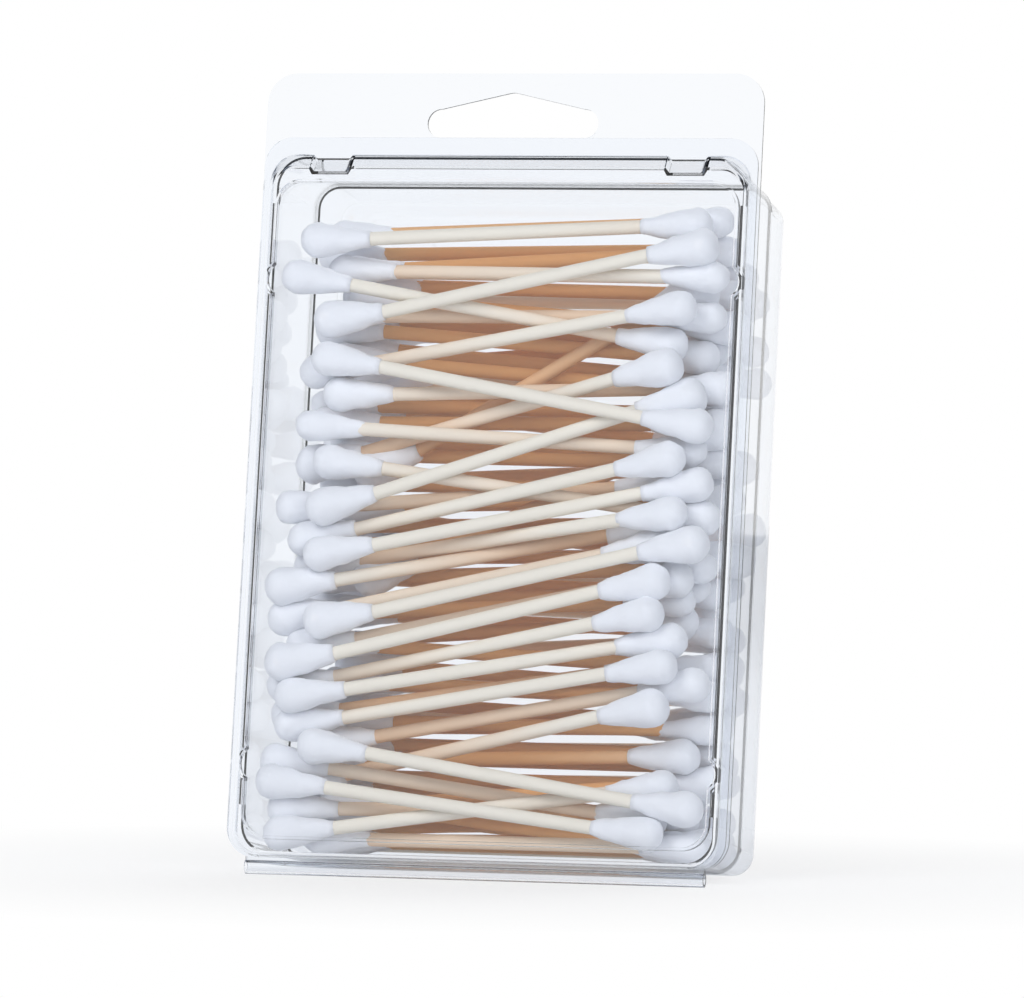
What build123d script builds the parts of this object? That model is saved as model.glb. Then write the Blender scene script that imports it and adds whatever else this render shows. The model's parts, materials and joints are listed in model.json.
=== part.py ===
"""Clear folding pack of cotton swabs, standing on its hinge bead and leaning back.

The pack is drawn on its own face plane: x across the face, y up the face from the
bottom of the hinge bead, and offsets along the face normal, positive towards the
front. The face plane leans back so that the hinge bead and the back bottom edge of
the tray both touch the ground.
"""

from build123d import *
import math
import os

import numpy as np

# ---------------------------------------------------------------- swabs
swab_length = 75.0
stick_diameter = 2.45
bud_diameter = 5.8
bud_length = 13.0
bud_neck_diameter = 2.9
bud_bulge = 0.3             # how far the taper swells outside a straight cone
bud_cap = 2.0               # cotton beyond the end of the stick
stick_fit = 0.02            # between a stick and the cotton round it
swab_clearance = 0.16       # between any two swabs, and between a swab and the tray
cover_clearance = 0.4       # between the swabs and the inside of the cover
tiers = 28                  # swabs are grouped in tiers, from the bottom up

# ---------------------------------------------------------------- tray
sheet = 0.5                 # wall of the clear sheet
pack_height = 143.2         # top of the hang tab above the bottom of the hinge bead
tray_depth = 38.0
end_room = 5.0              # between the ends of the swabs and the tray's sides
side_flange = 3.0
bottom_flange = 1.2
tab_height = 15.8           # top of the hang tab above the opening
tab_corner = 5.3
opening_corner = 4.8
step_depth = 22.0           # where the walls step in
step_inset = 0.5
draft = 1.6                 # degrees, on every tray wall
back_round = 3.0            # outer radius round the back
rib_height = 1.5            # side ribs that stand in the cover's bead
rib_end_gap = 8.0           # from the ends of the opening to the ribs

# ---------------------------------------------------------------- hinge bead
hinge_radius = 1.3
hinge_rise = 2.9            # lower edge of both flanges above the bottom of the bead
hinge_end_gap = 4.0         # from the sides of the pack to the ends of the bead
fold_gap = 0.05             # between the two halves at the fold

# ---------------------------------------------------------------- cover
flange_gap = 0.3            # between the two flanges when shut
cover_inset = 0.4           # cover flange inside the tray flange, each side
cover_corner = 5.0
top_lip = 3.1               # cover flange above the bead
bead_height = 2.0           # land above the cover flange
bead_corner = 4.8
rib_clearance = 0.4         # between the ribs and the bead's outer wall
panel_clearance = 0.2       # between the ribs and the bead's inner wall
bead_side_slope = 0.2       # how far each wall of the bead leans in
bead_top_slope = 2.4
bead_bottom_slope = 0.25
bead_above_opening = 1.0
bead_above_edge = 0.05      # bead above the lower edge of the flange
land_top_width = 2.8
land_bottom_width = 3.4
panel_corner = 4.3
panel_recess = 1.4          # panel face below the land
snap_out = 1.2              # snap bumps stand out of the panel's outline
snap_height = 5.0
snap_low = 12.8             # bump centres above and below the panel's ends
snap_high = 17.4
snap_clearance = 0.4        # ribs stop short of the bumps
notch_from_side = 9.3       # two notches in the top wall of the bead
notch_width = 8.1
notch_depth = 1.0
notch_slope = 1.2

# ---------------------------------------------------------------- hang slot
slot_above_cover = 0.1
slot_width = 31.3
slot_ends = 5.2             # height of the rounded ends
slot_height = 8.2           # height at the peak
slot_peak_round = 3.0

# ---------------------------------------------------------------- how the swabs lie
# The swabs in front, as they show through the cover. Heights of the left and right
# ends are in hundredths of the fill height, depths of both ends behind the cover are
# in bud diameters, and the shift to the right is in mm.
front_swabs = [
    (97, 100, 1.6, 1.6, 1), (95, 98, 0.5, 0.9, -1), (93, 94, 1.5, 0.6, 2),
    (92, 82, 0.9, 1.7, -5), (82, 97, 0.5, 0.5, 1), (86, 86, 1.3, 1.6, 1),
    (76, 89, 1.4, 0.6, -2), (81, 69, 0.5, 0.5, 1), (62, 91, 2.3, 1.6, 3),
    (74, 73, 0.8, 1.5, 3), (61, 77, 1.5, 0.7, -3), (69, 67, 0.6, 1.2, -1),
    (52, 74, 0.6, 1.3, 1), (62, 54, 0.7, 1.7, 1), (48, 71, 1.6, 1.9, 5),
    (50, 64, 1.5, 0.8, -2), (48, 58, 1.9, 0.6, -2), (55, 59, 1.3, 1.7, -5),
    (48, 61, 0.6, 1.3, 1), (44, 56, 0.7, 1.6, -6), (40, 52, 0.9, 1.3, -6),
    (38, 50, 0.5, 0.8, 2), (34, 47, 1.2, 1.9, -2), (30, 43, 0.9, 0.6, -4),
    (27, 40, 1.4, 0.5, -5), (26, 35, 0.5, 0.6, -2), (25, 33, 1.5, 1.7, -5),
    (21, 34, 1.0, 0.5, -2), (16, 34, 1.6, 0.6, 1), (13, 28, 1.5, 0.5, -3),
    (20, 9, 0.5, 0.6, 1), (16, 7, 1.1, 1.5, -4), (12, 4, 0.6, 0.5, -4),
    (4, 13, 0.6, 1.5, -3), (1, 10, 1.5, 2.0, -2), (1, 0, 1.6, 0.9, 3),
]
back_first_depth = 2.5      # first layer behind the front ones, in bud diameters
back_layer_pitch = 1.05     # in bud diameters
back_row_pitch = 1.2        # in bud diameters
back_tilt = 8.0             # degrees, most that a swab there lies off level
back_yaw = 2.0              # degrees, most that one end lies behind the other
back_shift = 4.0            # most that it lies to one side
settle_steps = 400
samples = 27                # points along a swab that are kept clear of the others

# ---------------------------------------------------------------- derived sizes
stick_radius = stick_diameter / 2
bud_radius = bud_diameter / 2
neck_radius = bud_neck_diameter / 2
slope = math.tan(math.radians(draft))

opening_width = swab_length + 2 * end_room
pack_width = opening_width + 2 * side_flange
opening_bottom = hinge_rise + bottom_flange
opening_top = pack_height - tab_height

flange_front = flange_gap + sheet
land = flange_front + bead_height
panel_front = land - panel_recess
panel_back = panel_front - sheet
cover_width = pack_width - 2 * cover_inset
bead_width = opening_width + 2 * (sheet + rib_clearance + sheet)
bead_bottom = hinge_rise + bead_above_edge
bead_top = opening_top + bead_above_opening
cover_top = bead_top + top_lip
land_width = bead_width - 2 * bead_side_slope
land_bottom = bead_bottom + bead_bottom_slope
land_top = bead_top - bead_top_slope
panel_width = opening_width - 2 * (panel_clearance + sheet)
panel_bottom = land_bottom + land_bottom_width
panel_top = land_top - land_top_width
slot_bottom = cover_top + slot_above_cover
hinge_width = pack_width - 2 * hinge_end_gap

# ---------------------------------------------------------------- lean of the face
# The hinge bead and the round along the tray's back bottom edge are two cylinders
# across the pack, and the ground is the plane that touches both from below.
hinge_offset = flange_gap / 2
round_offset = back_round - tray_depth
round_shift = back_round * math.hypot(1, slope)
round_bottom = opening_bottom - sheet + step_inset - round_offset * slope + round_shift
round_top = opening_top + sheet - step_inset + round_offset * slope - round_shift
rise = round_bottom - hinge_radius
run = hinge_offset - round_offset
lean = math.acos((back_round - hinge_radius) / math.hypot(rise, run)) - math.atan2(run, rise)
lean_sin = math.sin(lean)
lean_cos = math.cos(lean)

# The origin is on the ground, midway between the front of the pack, at the lower edge
# of the land, and its back, at the round along the tray's top.
ground = hinge_radius * lean_cos + hinge_offset * lean_sin - hinge_radius
front_reach = land_bottom * lean_sin - land * lean_cos
back_reach = round_top * lean_sin - round_offset * lean_cos + back_round
face = Plane(
    origin=(0, -(front_reach + back_reach) / 2, -ground),
    x_dir=(1, 0, 0),
    z_dir=(0, -lean_cos, lean_sin),
)
face_normal = Axis(face.origin, face.z_dir)


# ---------------------------------------------------------------- shared outlines
def rounded_outline(width, bottom, top, corner):
    """A rectangle with rounded corners that stands between two heights."""
    with Locations((0, (bottom + top) / 2)):
        RectangleRounded(width, top - bottom, corner)


def snap_circles(grow, mode=Mode.ADD):
    """Circles that swell the panel's outline into four snap bumps."""
    radius = ((snap_height / 2) ** 2 + snap_out ** 2) / (2 * snap_out)
    across = panel_width / 2 + snap_out - radius
    heights = (panel_bottom + snap_low, panel_top - snap_high)
    with Locations(*[(side * across, y) for side in (-1, 1) for y in heights]):
        Circle(radius + grow, mode=mode)


# ---------------------------------------------------------------- tray
def stepped_block(grow):
    """The tray's drafted, stepped hollow, grown by the sheet for its outside."""
    with BuildSketch(face) as mouth:
        rounded_outline(
            opening_width + 2 * grow,
            opening_bottom - grow,
            opening_top + grow,
            opening_corner + grow,
        )
    extrude(mouth.sketch, amount=-step_depth - grow, taper=draft)
    inset = step_inset + step_depth * slope - grow
    with BuildSketch(face.offset(-step_depth)) as ledge:
        rounded_outline(
            opening_width - 2 * inset,
            opening_bottom + inset,
            opening_top - inset,
            opening_corner - inset,
        )
    extrude(ledge.sketch, amount=step_depth + sheet - grow - tray_depth, taper=draft)


def hang_slot_outline():
    """Slot with round ends and a shallow roof that rises to a rounded peak."""
    shoulder = (slot_width - slot_ends) / 2
    middle = slot_bottom + slot_ends / 2
    with BuildLine() as roof:
        FilletPolyline(
            (-shoulder, slot_bottom + slot_ends),
            (0, slot_bottom + slot_height),
            (shoulder, slot_bottom + slot_ends),
            radius=slot_peak_round,
        )
        Polyline(
            (shoulder, slot_bottom + slot_ends),
            (shoulder, middle),
            (-shoulder, middle),
            (-shoulder, slot_bottom + slot_ends),
        )
    make_face(roof.edges())
    with Locations((0, middle)):
        SlotOverall(slot_width, slot_ends)


def hinge_half(side):
    """Section of half the hinge bead: -1 is the tray's half, 1 is the cover's."""
    middle = (hinge_offset, hinge_radius)
    with Locations(middle):
        Circle(hinge_radius)
        Circle(hinge_radius - sheet, mode=Mode.SUBTRACT)
    with Locations((hinge_offset + side * (fold_gap / 2 + hinge_radius), hinge_radius)):
        Rectangle(2 * hinge_radius, 2 * hinge_radius, mode=Mode.INTERSECT)
    leg_offset = hinge_offset + side * (flange_gap + sheet) / 2
    with Locations((leg_offset, hinge_radius + hinge_rise / 2)):
        Rectangle(sheet, hinge_rise - 2 * hinge_radius + 2 * sheet)


hinge_end = Plane(
    origin=face.origin + face.x_dir * (hinge_width / 2),
    x_dir=face.z_dir,
    z_dir=-face.x_dir,
)

with BuildPart() as tray_hollow:
    stepped_block(0)
    fillet(tray_hollow.faces().sort_by(face_normal)[0].edges(), back_round - sheet)

with BuildPart() as tray:
    stepped_block(sheet)
    fillet(tray.faces().sort_by(face_normal)[0].edges(), back_round)
    with BuildSketch(face.offset(-sheet)):
        rounded_outline(pack_width, hinge_rise, pack_height, tab_corner)
    extrude(amount=sheet)
    add(tray_hollow.part, mode=Mode.SUBTRACT)
    with BuildSketch(face.offset(-sheet)):
        hang_slot_outline()
    extrude(amount=sheet, mode=Mode.SUBTRACT)
    with BuildSketch(face.offset(-sheet)):
        rib_x = (opening_width + sheet) / 2
        rib_y = (opening_bottom + opening_top) / 2
        with Locations((-rib_x, rib_y), (rib_x, rib_y)):
            Rectangle(sheet, opening_top - opening_bottom - 2 * rib_end_gap)
        snap_circles(sheet + snap_clearance, mode=Mode.SUBTRACT)
    extrude(amount=sheet + rib_height)
    with BuildSketch(hinge_end):
        hinge_half(-1)
    extrude(amount=hinge_width)
tray.part.label = "tray"


# ---------------------------------------------------------------- cover
def bead_block(grow):
    """The raised bead as a block. Grown by less than nothing, it is its hollow."""
    with BuildSketch(face.offset(flange_front + grow)) as base:
        rounded_outline(
            bead_width + 2 * grow, bead_bottom - grow, bead_top + grow, bead_corner + grow
        )
    with BuildSketch(face.offset(land + grow)) as crest:
        rounded_outline(
            land_width + 2 * grow, land_bottom - grow, land_top + grow, bead_corner + grow
        )
    loft(sections=[base.sketch, crest.sketch])
    for side in (-1, 1):
        middle = side * (panel_width / 2 - notch_from_side)
        with BuildSketch(face.offset(flange_front + grow)) as low_dent:
            notch_outline(middle, bead_top, -grow)
        with BuildSketch(face.offset(land + grow)) as high_dent:
            notch_outline(middle, land_top, -grow)
        loft(sections=[low_dent.sketch, high_dent.sketch], mode=Mode.SUBTRACT)


def notch_outline(middle, wall, grow):
    """A trapezoid that dents the bead's top wall, open at the top."""
    low = wall - notch_depth - grow
    high = wall + sheet
    half = notch_width / 2 + grow
    with BuildLine() as dent:
        Polyline(
            (middle - half + notch_slope, low),
            (middle + half - notch_slope, low),
            (middle + half, high),
            (middle - half, high),
            close=True,
        )
    make_face(dent.edges())


def panel_outline(grow):
    """Outline of the recessed panel with its four snap bumps."""
    rounded_outline(
        panel_width + 2 * grow, panel_bottom - grow, panel_top + grow, panel_corner + grow
    )
    snap_circles(grow)


with BuildPart() as bead_hollow:
    bead_block(-sheet)
    with BuildSketch(face.offset(panel_back)):
        panel_outline(sheet)
    extrude(amount=land - panel_back, mode=Mode.SUBTRACT)

with BuildPart() as cover:
    with BuildSketch(face.offset(flange_gap)):
        rounded_outline(cover_width, hinge_rise, cover_top, cover_corner)
    extrude(amount=sheet)
    bead_block(0)
    with BuildSketch(face.offset(panel_front)):
        panel_outline(0)
    extrude(amount=panel_recess, mode=Mode.SUBTRACT)
    add(bead_hollow.part, mode=Mode.SUBTRACT)
    with BuildSketch(hinge_end):
        hinge_half(1)
    extrude(amount=hinge_width)
cover.part.label = "cover"


# ---------------------------------------------------------------- how the swabs lie
def outer_radius(from_tip):
    """Outer radius of a swab at a distance from its nearer tip, past the round tip."""
    taper = np.clip((from_tip - bud_radius) / (bud_length - bud_radius), 0, 1)
    cone = bud_radius + (neck_radius - bud_radius) * taper
    bud = cone + 4 * bud_bulge * taper * (1 - taper)
    return np.where(from_tip > bud_length, stick_radius, bud)


def first_places():
    """Bud centres of every swab before they are pushed apart, in face coordinates."""
    rng = np.random.default_rng(4)
    centre_gap = swab_length - bud_diameter
    low = opening_bottom + bud_radius + swab_clearance
    fill = panel_top - low
    front = panel_back - cover_clearance
    places = []
    for left, right, left_depth, right_depth, shift in front_swabs:
        left_end = np.array([0, low + fill * left / 100, front - bud_diameter * left_depth])
        right_end = np.array([0, low + fill * right / 100, front - bud_diameter * right_depth])
        places.append((left_end, right_end, shift))
    room = tray_depth - sheet + front - back_first_depth * bud_diameter - bud_radius
    layers = int(room / (back_layer_pitch * bud_diameter)) + 1
    rows = int(fill / (back_row_pitch * bud_diameter)) + 1
    for layer in range(layers):
        depth = front - bud_diameter * (back_first_depth + back_layer_pitch * layer)
        for row in range(rows):
            height = low + fill * (row + 0.5 * (layer % 2)) / rows
            tilt = math.radians(rng.uniform(-back_tilt, back_tilt))
            yaw = math.radians(rng.uniform(-back_yaw, back_yaw))
            half = np.array([0, math.sin(tilt), math.sin(yaw)]) * centre_gap / 2
            middle = np.array([0, height, depth])
            places.append((middle - half, middle + half, rng.uniform(-back_shift, back_shift)))
    ends = np.array([(left, right) for left, right, shift in places])
    lean_across = ends[:, 1] - ends[:, 0]
    half_width = np.sqrt(centre_gap ** 2 - (lean_across ** 2).sum(axis=1)) / 2
    shifts = np.array([shift for left, right, shift in places])
    ends[:, 0, 0] = shifts - half_width
    ends[:, 1, 0] = shifts + half_width
    return ends


def keep_inside(ends):
    """Hold the bud centres inside the tray and behind the cover."""
    margin = bud_radius + swab_clearance
    front = panel_back - cover_clearance - bud_radius
    ends[..., 2] = np.clip(ends[..., 2], margin + sheet - tray_depth, front)
    depth = -ends[..., 2]
    inset = depth * slope + step_inset * (depth > step_depth - margin)
    side = opening_width / 2 - inset - margin
    ends[..., 0] = np.clip(ends[..., 0], -side, side)
    low = opening_bottom + inset + margin
    high = opening_top - inset - margin
    ends[..., 1] = np.clip(ends[..., 1], low, high)
    round_room = opening_corner - inset - margin
    corner_x = side - round_room
    corner_y = low + round_room
    out_x = np.abs(ends[..., 0]) - corner_x
    out_y = corner_y - ends[..., 1]
    out = np.hypot(out_x, out_y)
    outside = (out_x > 0) & (out_y > 0) & (out > round_room)
    pull = np.where(outside, round_room / np.maximum(out, 1e-9), 1)
    ends[..., 0] = np.where(outside, np.sign(ends[..., 0]) * (corner_x + out_x * pull), ends[..., 0])
    ends[..., 1] = np.where(outside, corner_y - out_y * pull, ends[..., 1])


def near_pairs(ends):
    """Pairs of swabs whose boxes come close, in both orders."""
    low = ends.min(axis=1) - bud_diameter
    high = ends.max(axis=1) + bud_diameter
    meets = np.all((low[:, None] < high[None]) & (low[None] < high[:, None]), axis=2)
    np.fill_diagonal(meets, False)
    return np.nonzero(meets)


def pack_swabs():
    """Bud centres of every swab, pushed apart until no two overlap, then settled."""
    ends = first_places()
    centre_gap = swab_length - bud_diameter
    part = np.linspace(0, 1, samples)
    reach = outer_radius(bud_radius + np.minimum(part, 1 - part) * centre_gap)
    deepest = 0
    for step in range(settle_steps):
        if step % 10 == 0:
            one, other = near_pairs(ends)
        left, right = ends[:, 0], ends[:, 1]
        along = right - left
        points = left[one][:, None] + part[None, :, None] * along[one][:, None]
        offset = points - left[other][:, None]
        share = np.einsum("pki,pi->pk", offset, along[other]) / centre_gap ** 2
        share = np.clip(share, 0, 1)
        away = offset - share[..., None] * along[other][:, None]
        distance = np.maximum(np.linalg.norm(away, axis=2), 1e-6)
        other_reach = outer_radius(bud_radius + np.minimum(share, 1 - share) * centre_gap)
        overlap = reach[None] + other_reach + swab_clearance - distance
        pair, point = np.nonzero(overlap > 0)
        deepest = overlap.max()
        push = away[pair, point] / distance[pair, point, None] * overlap[pair, point, None] / 2
        move = np.zeros_like(ends)
        weight = np.full(ends.shape[:2], 1e-6)
        for swab, place, sign in (
            (one[pair], part[point], 1),
            (other[pair], share[pair, point], -1),
        ):
            for end, lever in ((0, 1 - place), (1, place)):
                np.add.at(move[:, end], swab, sign * lever[:, None] * push)
                np.add.at(weight[:, end], swab, lever)
        ends = ends + 1.4 * move / weight[..., None]
        calm = 1 - step / settle_steps
        ends[..., 1] -= 0.03 * calm
        middle = ends.mean(axis=1)
        along = ends[:, 1] - ends[:, 0]
        half = along / np.linalg.norm(along, axis=1)[:, None] * centre_gap / 2
        ends = np.stack((middle - half, middle + half), axis=1)
        keep_inside(ends)
    print("deepest overlap left, mm:", round(float(deepest - swab_clearance), 3))
    return ends


# ---------------------------------------------------------------- swabs, tier by tier
with BuildPart() as bud:
    with BuildSketch(Plane.XZ):
        with BuildLine():
            low_round = bud_radius * (1 - math.sqrt(0.5))
            ThreePointArc(
                (0, 0), (bud_radius * math.sqrt(0.5), low_round), (bud_radius, bud_radius)
            )
            middle = ((bud_radius + neck_radius) / 2 + bud_bulge, (bud_radius + bud_length) / 2)
            ThreePointArc((bud_radius, bud_radius), middle, (neck_radius, bud_length))
            Polyline(
                (neck_radius, bud_length),
                (stick_radius + stick_fit, bud_length),
                (stick_radius + stick_fit, bud_cap - stick_fit),
                (0, bud_cap - stick_fit),
                (0, 0),
            )
        make_face()
    revolve(axis=Axis.Z)

os.makedirs("parts", exist_ok=True)
export_step(tray.part, "parts/tray.step")
export_step(cover.part, "parts/cover.step")
swabs = pack_swabs()
order = np.argsort(swabs[:, :, 1].mean(axis=1))
for number, tier in enumerate(np.array_split(order, tiers), start=1):
    bud_places = []
    stick_places = []
    for left, right in swabs[tier]:
        heading = Vector(*(right - left)).normalized()
        for end, inward in ((Vector(*left), heading), (Vector(*right), -heading)):
            tip = Plane(origin=end - inward * bud_radius, z_dir=inward)
            bud_places.append(face.location * tip.location)
        middle = Plane(origin=Vector(*((left + right) / 2)), z_dir=heading)
        stick_places.append(face.location * middle.location)
    with BuildPart() as sticks:
        with Locations(*stick_places):
            Cylinder(stick_radius, swab_length - 2 * bud_cap)
    with BuildPart() as buds:
        with Locations(*bud_places):
            add(bud.part)
    for group, kind in ((sticks, "sticks"), (buds, "buds")):
        name = f"{kind}_{number:02d}"
        group.part.label = name
        export_step(group.part, f"parts/{name}.step")
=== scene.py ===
"""Looks of the cotton swab pack: clear shells, paper sticks, cotton buds and the stage."""

import json
import math
import random

import bmesh
import bpy
from mathutils import Matrix, Vector, noise


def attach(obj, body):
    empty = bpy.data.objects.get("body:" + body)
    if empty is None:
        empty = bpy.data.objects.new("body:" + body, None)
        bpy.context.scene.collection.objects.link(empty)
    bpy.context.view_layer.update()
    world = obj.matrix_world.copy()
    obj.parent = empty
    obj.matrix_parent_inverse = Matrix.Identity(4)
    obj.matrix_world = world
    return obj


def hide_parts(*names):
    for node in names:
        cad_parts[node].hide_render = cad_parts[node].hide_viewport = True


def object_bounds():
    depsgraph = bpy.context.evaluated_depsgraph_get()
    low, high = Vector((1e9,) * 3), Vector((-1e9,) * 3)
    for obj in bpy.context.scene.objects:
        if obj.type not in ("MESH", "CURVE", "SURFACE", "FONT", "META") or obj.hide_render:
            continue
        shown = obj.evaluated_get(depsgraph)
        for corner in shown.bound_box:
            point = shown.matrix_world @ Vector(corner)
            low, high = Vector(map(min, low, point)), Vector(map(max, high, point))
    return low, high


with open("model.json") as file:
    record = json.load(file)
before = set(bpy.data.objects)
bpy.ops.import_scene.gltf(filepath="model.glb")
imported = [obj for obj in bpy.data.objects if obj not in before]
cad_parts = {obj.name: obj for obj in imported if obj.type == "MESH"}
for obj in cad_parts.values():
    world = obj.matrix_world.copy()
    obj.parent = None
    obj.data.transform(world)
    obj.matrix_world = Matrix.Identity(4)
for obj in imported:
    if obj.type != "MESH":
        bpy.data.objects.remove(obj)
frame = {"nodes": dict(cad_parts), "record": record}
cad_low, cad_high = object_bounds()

bl_info = {
    "name": "Cotton Swab Pack",
    "version": (1, 0, 0),
    "blender": (4, 5, 0),
    "location": "View3D > Sidebar > Swab Pack",
    "description": "Clear folding pack of cotton swabs with its stage",
    "category": "Add Mesh",
}

MM = 0.001


# ---------------------------------------------------------------- settings
class SwabSettings(bpy.types.PropertyGroup):
    cotton_color: bpy.props.FloatVectorProperty(
        name="Cotton", description="Colour of the buds", subtype="COLOR",
        default=(0.86, 0.88, 0.93), min=0, max=1,
    )
    stick_color: bpy.props.FloatVectorProperty(
        name="Paper", description="Colour of the rolled paper sticks", subtype="COLOR",
        default=(0.86, 0.81, 0.71), min=0, max=1,
    )
    # Painted shade: a warm, darker paper colour given to sticks midway between the pack's
    # front and back, standing in for light dimmed between close sticks.
    painted_shade_color: bpy.props.FloatVectorProperty(
        name="Painted shade", description="Painted warm shade on sticks midway through the pack",
        subtype="COLOR", default=(0.78, 0.40, 0.15), min=0, max=1,
    )
    fluff: bpy.props.FloatProperty(
        name="Fluff", description="Height of the lumps on a bud",
        default=0.0003, min=0, max=0.001, unit="LENGTH",
    )
    around: bpy.props.IntProperty(
        name="Around", description="Faces round a bud", default=20, min=8, max=48,
    )
    rings: bpy.props.IntProperty(
        name="Rings", description="Rings along a bud", default=16, min=6, max=40,
    )


class ShellSettings(bpy.types.PropertyGroup):
    tint: bpy.props.FloatVectorProperty(
        name="Tint", description="Tint of the clear sheet", subtype="COLOR",
        default=(0.945, 0.962, 0.988), min=0, max=1,
    )
    polish: bpy.props.FloatProperty(
        name="Roughness", description="Roughness of the clear sheet",
        default=0.03, min=0, max=1, subtype="FACTOR",
    )


class StageSettings(bpy.types.PropertyGroup):
    turn: bpy.props.FloatProperty(
        name="Turn", description="Camera to the right of the pack's face",
        default=math.radians(15.4), subtype="ANGLE", unit="ROTATION",
    )
    height: bpy.props.FloatProperty(
        name="Height", description="Camera above the horizon",
        default=math.radians(0.5), subtype="ANGLE", unit="ROTATION",
    )
    roll: bpy.props.FloatProperty(
        name="Roll", description="Camera roll",
        default=math.radians(0.8), subtype="ANGLE", unit="ROTATION",
    )
    distance: bpy.props.FloatProperty(
        name="Distance", description="Camera to the face", default=1.29, unit="LENGTH",
    )
    lens: bpy.props.FloatProperty(
        name="Lens", description="Focal length in millimetres", default=258.5,
    )


# ---------------------------------------------------------------- materials
def new_material(name):
    material = bpy.data.materials.new(name)
    material.use_nodes = True
    nodes = material.node_tree.nodes
    return material, nodes, material.node_tree.links, nodes["Principled BSDF"]


def add_bump(nodes, links, shader, scale, strength, distance):
    """Fine unevenness on Object coordinates."""
    place = nodes.new("ShaderNodeTexCoord")
    grain = nodes.new("ShaderNodeTexNoise")
    grain.inputs["Scale"].default_value = scale
    grain.inputs["Detail"].default_value = 4
    bump = nodes.new("ShaderNodeBump")
    bump.inputs["Strength"].default_value = strength
    bump.inputs["Distance"].default_value = distance
    links.new(place.outputs["Object"], grain.inputs["Vector"])
    links.new(grain.outputs["Fac"], bump.inputs["Height"])
    links.new(bump.outputs["Normal"], shader.inputs["Normal"])


def clear_sheet(settings):
    """Clear plastic that lets lamps shine through it."""
    material, nodes, links, shader = new_material("clear sheet")
    shader.inputs["Base Color"].default_value = (*settings.tint, 1)
    shader.inputs["Roughness"].default_value = settings.polish
    shader.inputs["IOR"].default_value = 1.5
    shader.inputs["Transmission Weight"].default_value = 1
    path = nodes.new("ShaderNodeLightPath")
    either = nodes.new("ShaderNodeMath")
    either.operation = "MAXIMUM"
    through = nodes.new("ShaderNodeBsdfTransparent")
    mix = nodes.new("ShaderNodeMixShader")
    links.new(path.outputs["Is Shadow Ray"], either.inputs[0])
    links.new(path.outputs["Is Diffuse Ray"], either.inputs[1])
    links.new(either.outputs[0], mix.inputs[0])
    links.new(shader.outputs[0], mix.inputs[1])
    links.new(through.outputs[0], mix.inputs[2])
    links.new(mix.outputs[0], nodes["Material Output"].inputs["Surface"])
    return material


def cotton(settings):
    """Soft matt cotton with a fine nap."""
    material, nodes, links, shader = new_material("cotton")
    shader.inputs["Base Color"].default_value = (*settings.cotton_color, 1)
    shader.inputs["Roughness"].default_value = 0.95
    shader.inputs["Sheen Weight"].default_value = 0.35
    shader.inputs["Sheen Roughness"].default_value = 0.6
    add_bump(nodes, links, shader, 1500, 0.35, 0.0002)
    return material


def rolled_paper(settings):
    """Matt rolled paper with a faint grain, and painted warm shade on the sticks midway
    between the pack's front and back.
    """
    material, nodes, links, shader = new_material("rolled paper")
    shader.inputs["Roughness"].default_value = 0.7
    # Painted shade: the mask is 0 midway between the pack's front and back and 1 near them,
    # so the middle sticks take the painted warm shade colour and fade to the paper colour
    # towards the front and back.
    mounts = {mount["name"]: mount for mount in frame["record"]["mounts"]}
    normal = Vector(mounts["hang_slot"]["axis"])
    front = normal.dot(Vector(mounts["hang_slot"]["pos_m"]))
    back = normal.dot(Vector(mounts["back"]["pos_m"]))
    place = nodes.new("ShaderNodeTexCoord")
    along = nodes.new("ShaderNodeVectorMath")
    along.operation = "DOT_PRODUCT"
    along.inputs[1].default_value = normal
    centred = nodes.new("ShaderNodeMath")
    centred.operation = "SUBTRACT"
    centred.inputs[1].default_value = (front + back) / 2
    apart = nodes.new("ShaderNodeMath")
    apart.operation = "ABSOLUTE"
    painted_shade_mask = nodes.new("ShaderNodeMapRange")
    painted_shade_mask.inputs["From Min"].default_value = 0.18 * (front - back)
    painted_shade_mask.inputs["From Max"].default_value = 0.40 * (front - back)
    links.new(place.outputs["Object"], along.inputs[0])
    links.new(along.outputs["Value"], centred.inputs[0])
    links.new(centred.outputs[0], apart.inputs[0])
    mix = nodes.new("ShaderNodeMix")
    mix.data_type = "RGBA"
    mix.inputs[6].default_value = (*settings.painted_shade_color, 1)
    mix.inputs[7].default_value = (*settings.stick_color, 1)
    links.new(apart.outputs[0], painted_shade_mask.inputs["Value"])
    links.new(painted_shade_mask.outputs["Result"], mix.inputs[0])
    links.new(mix.outputs[2], shader.inputs["Base Color"])
    add_bump(nodes, links, shader, 900, 0.12, 0.0001)
    return material


def dress(node, material):
    node.data.materials.clear()
    node.data.materials.append(material)


# ---------------------------------------------------------------- buds
def bud_places(node):
    """Tip, direction, length and radius of each bud in a tier's CAD node."""
    mesh = bmesh.new()
    mesh.from_mesh(node.data)
    bmesh.ops.remove_doubles(mesh, verts=mesh.verts, dist=0.001 * MM)
    left = set(mesh.verts)
    places = []
    while left:
        island = set()
        edge = [left.pop()]
        while edge:
            vert = edge.pop()
            island.add(vert)
            for link in vert.link_edges:
                other = link.other_vert(vert)
                if other in left:
                    left.discard(other)
                    edge.append(other)
        points = sorted((v.co.copy() for v in island), key=lambda p: p.x)
        side = -1 if sum(p.x for p in points) < 0 else 1
        tip = points[0] if side < 0 else points[-1]
        neck_end = points[-len(points) // 4:] if side < 0 else points[:len(points) // 4]
        far = max((p - tip).length for p in points)
        rim = [p for p in neck_end if (p - tip).length > 0.97 * far]
        neck = sum(rim, Vector()) / len(rim)
        axis = (neck - tip).normalized()
        length = (neck - tip).length
        radius = max(((p - tip) - axis * (p - tip).dot(axis)).length for p in points)
        places.append((tip, axis, length, radius))
    mesh.free()
    return places


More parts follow.
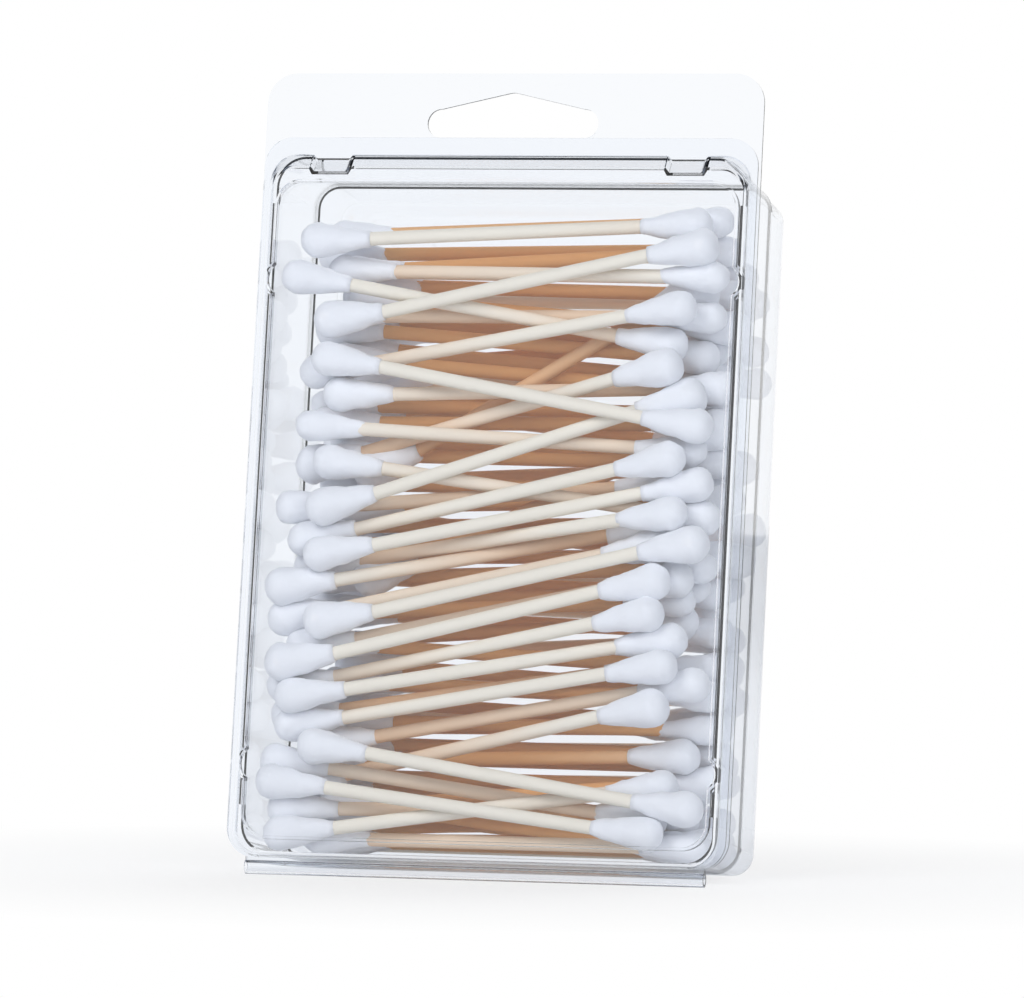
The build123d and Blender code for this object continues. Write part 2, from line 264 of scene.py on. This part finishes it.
def add_bud(mesh, tip, axis, length, radius, settings, seed):
    """One teardrop of wound cotton: a spun outline, then lumps."""
    bud = bmesh.new()
    outline = []
    for ring in range(settings.rings + 1):
        share = ring / settings.rings
        along = share ** 1.25
        belly = math.sqrt(max(0.0, 1 - (1 - min(along / 0.24, 1)) ** 2))
        taper = max(0.0, (along - 0.24) / 0.76)
        across = belly * (1 - 0.56 * taper ** 1.15)
        outline.append(bud.verts.new((radius * across, 0, length * along)))
    outline.append(bud.verts.new((0, 0, length)))
    for first, second in zip(outline, outline[1:]):
        bud.edges.new((first, second))
    bmesh.ops.spin(
        bud, geom=bud.verts[:] + bud.edges[:], cent=(0, 0, 0), axis=(0, 0, 1),
        angle=math.tau, steps=settings.around, use_merge=True,
    )
    bmesh.ops.remove_doubles(bud, verts=bud.verts, dist=0.01 * MM)
    for vert in bud.verts:
        lump = noise.noise(vert.co * 420 + Vector((seed * 3.7, 0, 0)))
        fine = noise.noise(vert.co * 1300 + Vector((0, seed * 1.9, 0)))
        away = Vector((vert.co.x, vert.co.y, 0))
        if away.length > 0.1 * radius:
            room = settings.fluff * (lump + 0.4 * fine - 0.25)
            vert.co += away.normalized() * room
    bmesh.ops.recalc_face_normals(bud, faces=bud.faces)
    bmesh.ops.transform(
        bud, verts=bud.verts,
        matrix=Matrix.Translation(tip) @ axis.to_track_quat("Z", "Y").to_matrix().to_4x4(),
    )
    part = bpy.data.meshes.new("bud")
    bud.to_mesh(part)
    bud.free()
    mesh.from_mesh(part)
    bpy.data.meshes.remove(part)


# ---------------------------------------------------------------- operators
class SWAB_OT_shells(bpy.types.Operator):
    """Dress the tray and the cover in clear sheet"""

    bl_idname = "swab.shells"
    bl_label = "Clear Shells"

    def execute(self, context):
        material = clear_sheet(context.scene.shell_settings)
        for name in ("tray", "cover"):
            dress(frame["nodes"][name], material)
        return {"FINISHED"}


class SWAB_OT_sticks(bpy.types.Operator):
    """Dress the sticks in rolled paper"""

    bl_idname = "swab.sticks"
    bl_label = "Paper Sticks"

    def execute(self, context):
        material = rolled_paper(context.scene.swab_settings)
        for name, node in frame["nodes"].items():
            if name.startswith("sticks_"):
                dress(node, material)
        return {"FINISHED"}


class SWAB_OT_buds(bpy.types.Operator):
    """Wind a cotton bud on each end of every stick"""

    bl_idname = "swab.buds"
    bl_label = "Cotton Buds"

    def execute(self, context):
        settings = context.scene.swab_settings
        material = cotton(settings)
        seed = 0
        for name, node in sorted(frame["nodes"].items()):
            if not name.startswith("buds_"):
                continue
            mesh = bmesh.new()
            for tip, axis, length, radius in bud_places(node):
                seed += 1
                add_bud(mesh, tip, axis, length, radius, settings, seed)
            data = bpy.data.meshes.new(name.replace("buds", "cotton"))
            mesh.to_mesh(data)
            mesh.free()
            data.shade_smooth()
            piece = bpy.data.objects.new(data.name, data)
            context.scene.collection.objects.link(piece)
            dress(piece, material)
            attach(piece, "tray")
            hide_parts(name)
        return {"FINISHED"}


class SWAB_OT_stage(bpy.types.Operator):
    """Set the floor, the lamps, the surroundings and the camera"""

    bl_idname = "swab.stage"
    bl_label = "Stage"

    def execute(self, context):
        scene = context.scene
        add_floor(scene)
        add_surroundings(scene)
        for name, place, size, power in (
            ("key lamp", (-0.5, -0.9, 0.9), 0.6, 5.5),
            ("fill lamp", (0.7, -0.8, 0.5), 0.6, 3),
            ("back lamp", (0.1, 0.8, 0.9), 0.6, 4.5),
        ):
            add_lamp(scene, name, place, size, power)
        add_camera(scene, scene.stage_settings)
        scene.render.engine = "CYCLES"
        scene.render.resolution_x = 1024
        scene.render.resolution_y = 998
        scene.view_settings.view_transform = "Standard"
        scene.cycles.transmission_bounces = 16
        scene.cycles.transparent_max_bounces = 24
        scene.cycles.max_bounces = 20
        return {"FINISHED"}


# ---------------------------------------------------------------- stage
def add_floor(scene):
    mesh = bmesh.new()
    bmesh.ops.create_grid(mesh, x_segments=1, y_segments=1, size=4)
    data = bpy.data.meshes.new("floor")
    mesh.to_mesh(data)
    mesh.free()
    floor = bpy.data.objects.new("floor", data)
    scene.collection.objects.link(floor)
    material, nodes, links, shader = new_material("white floor")
    shader.inputs["Base Color"].default_value = (0.9, 0.91, 0.93, 1)
    shader.inputs["Roughness"].default_value = 0.8
    path = nodes.new("ShaderNodeLightPath")
    glow = nodes.new("ShaderNodeEmission")
    seen = nodes.new("ShaderNodeMath")
    seen.operation = "MAXIMUM"
    place = nodes.new("ShaderNodeTexCoord")
    reach = nodes.new("ShaderNodeVectorMath")
    reach.operation = "LENGTH"
    fade = nodes.new("ShaderNodeMapRange")
    fade.inputs["From Min"].default_value = 0.04
    fade.inputs["From Max"].default_value = 0.16
    fade.inputs["To Min"].default_value = 0.7
    fade.inputs["To Max"].default_value = 1
    share = nodes.new("ShaderNodeMath")
    share.operation = "MULTIPLY"
    mix = nodes.new("ShaderNodeMixShader")
    links.new(path.outputs["Is Camera Ray"], seen.inputs[0])
    links.new(path.outputs["Is Transmission Ray"], seen.inputs[1])
    links.new(place.outputs["Object"], reach.inputs[0])
    links.new(reach.outputs["Value"], fade.inputs["Value"])
    links.new(seen.outputs[0], share.inputs[0])
    links.new(fade.outputs["Result"], share.inputs[1])
    links.new(share.outputs[0], mix.inputs[0])
    links.new(shader.outputs[0], mix.inputs[1])
    links.new(glow.outputs[0], mix.inputs[2])
    links.new(mix.outputs[0], nodes["Material Output"].inputs["Surface"])
    data.materials.append(material)


def add_surroundings(scene):
    """White before and behind the pack, and grey to the sides, so that bends show dark."""
    world = bpy.data.worlds.new("surroundings")
    scene.world = world
    world.use_nodes = True
    nodes = world.node_tree.nodes
    links = world.node_tree.links
    background = nodes["Background"]
    place = nodes.new("ShaderNodeTexCoord")
    split = nodes.new("ShaderNodeSeparateXYZ")
    size = nodes.new("ShaderNodeMath")
    size.operation = "ABSOLUTE"
    ramp = nodes.new("ShaderNodeValToRGB")
    ramp.color_ramp.elements[0].position = 0.55
    ramp.color_ramp.elements[0].color = (0.10, 0.12, 0.16, 1)
    ramp.color_ramp.elements[1].position = 0.80
    ramp.color_ramp.elements[1].color = (1, 1, 1, 1)
    links.new(place.outputs["Generated"], split.inputs[0])
    links.new(split.outputs["Y"], size.inputs[0])
    links.new(size.outputs[0], ramp.inputs[0])
    path = nodes.new("ShaderNodeLightPath")
    mix = nodes.new("ShaderNodeMix")
    mix.data_type = "RGBA"
    mix.inputs[7].default_value = (1, 1, 1, 1)
    links.new(path.outputs["Is Camera Ray"], mix.inputs[0])
    links.new(ramp.outputs[0], mix.inputs[6])
    links.new(mix.outputs[2], background.inputs["Color"])


def add_lamp(scene, name, place, size, power):
    data = bpy.data.lights.new(name, "AREA")
    data.size = size
    data.energy = power
    lamp = bpy.data.objects.new(name, data)
    lamp.location = place
    aim = Vector((0, 0, 0.07)) - Vector(place)
    lamp.rotation_euler = aim.to_track_quat("-Z", "Y").to_euler()
    lamp.visible_glossy = False
    lamp.visible_transmission = False
    scene.collection.objects.link(lamp)


def add_camera(scene, settings):
    data = bpy.data.cameras.new("camera")
    data.lens = settings.lens
    camera = bpy.data.objects.new("camera", data)
    scene.collection.objects.link(camera)
    scene.camera = camera
    low, high = cad_low, cad_high
    target = Vector((0.0034, low.y + 0.0120, (low.z + high.z) / 2 - 0.0043))
    back = Vector((
        math.sin(settings.turn) * math.cos(settings.height),
        -math.cos(settings.turn) * math.cos(settings.height),
        math.sin(settings.height),
    ))
    camera.location = target + back * settings.distance
    facing = (-back).to_track_quat("-Z", "Y").to_matrix().to_4x4()
    camera.matrix_world = (
        Matrix.Translation(camera.location) @ facing @ Matrix.Rotation(settings.roll, 4, "Z")
    )


# ---------------------------------------------------------------- panel
class SWAB_PT_panel(bpy.types.Panel):
    bl_idname = "SWAB_PT_panel"
    bl_label = "Swab Pack"
    bl_space_type = "VIEW_3D"
    bl_region_type = "UI"
    bl_category = "Swab Pack"

    def draw(self, context):
        for operator in OPERATORS:
            self.layout.operator(operator.bl_idname)


OPERATORS = (SWAB_OT_shells, SWAB_OT_sticks, SWAB_OT_buds, SWAB_OT_stage)
SETTINGS = (
    ("swab_settings", SwabSettings),
    ("shell_settings", ShellSettings),
    ("stage_settings", StageSettings),
)


def register():
    for name, group in SETTINGS:
        bpy.utils.register_class(group)
        setattr(bpy.types.Scene, name, bpy.props.PointerProperty(type=group))
    for item in (*OPERATORS, SWAB_PT_panel):
        bpy.utils.register_class(item)


def unregister():
    for item in (SWAB_PT_panel, *OPERATORS):
        bpy.utils.unregister_class(item)
    for name, group in SETTINGS:
        delattr(bpy.types.Scene, name)
        bpy.utils.unregister_class(group)


def main():
    register()
    bpy.ops.swab.shells()
    bpy.ops.swab.sticks()
    bpy.ops.swab.buds()
    bpy.ops.swab.stage()


if __name__ == "__main__":
    main()
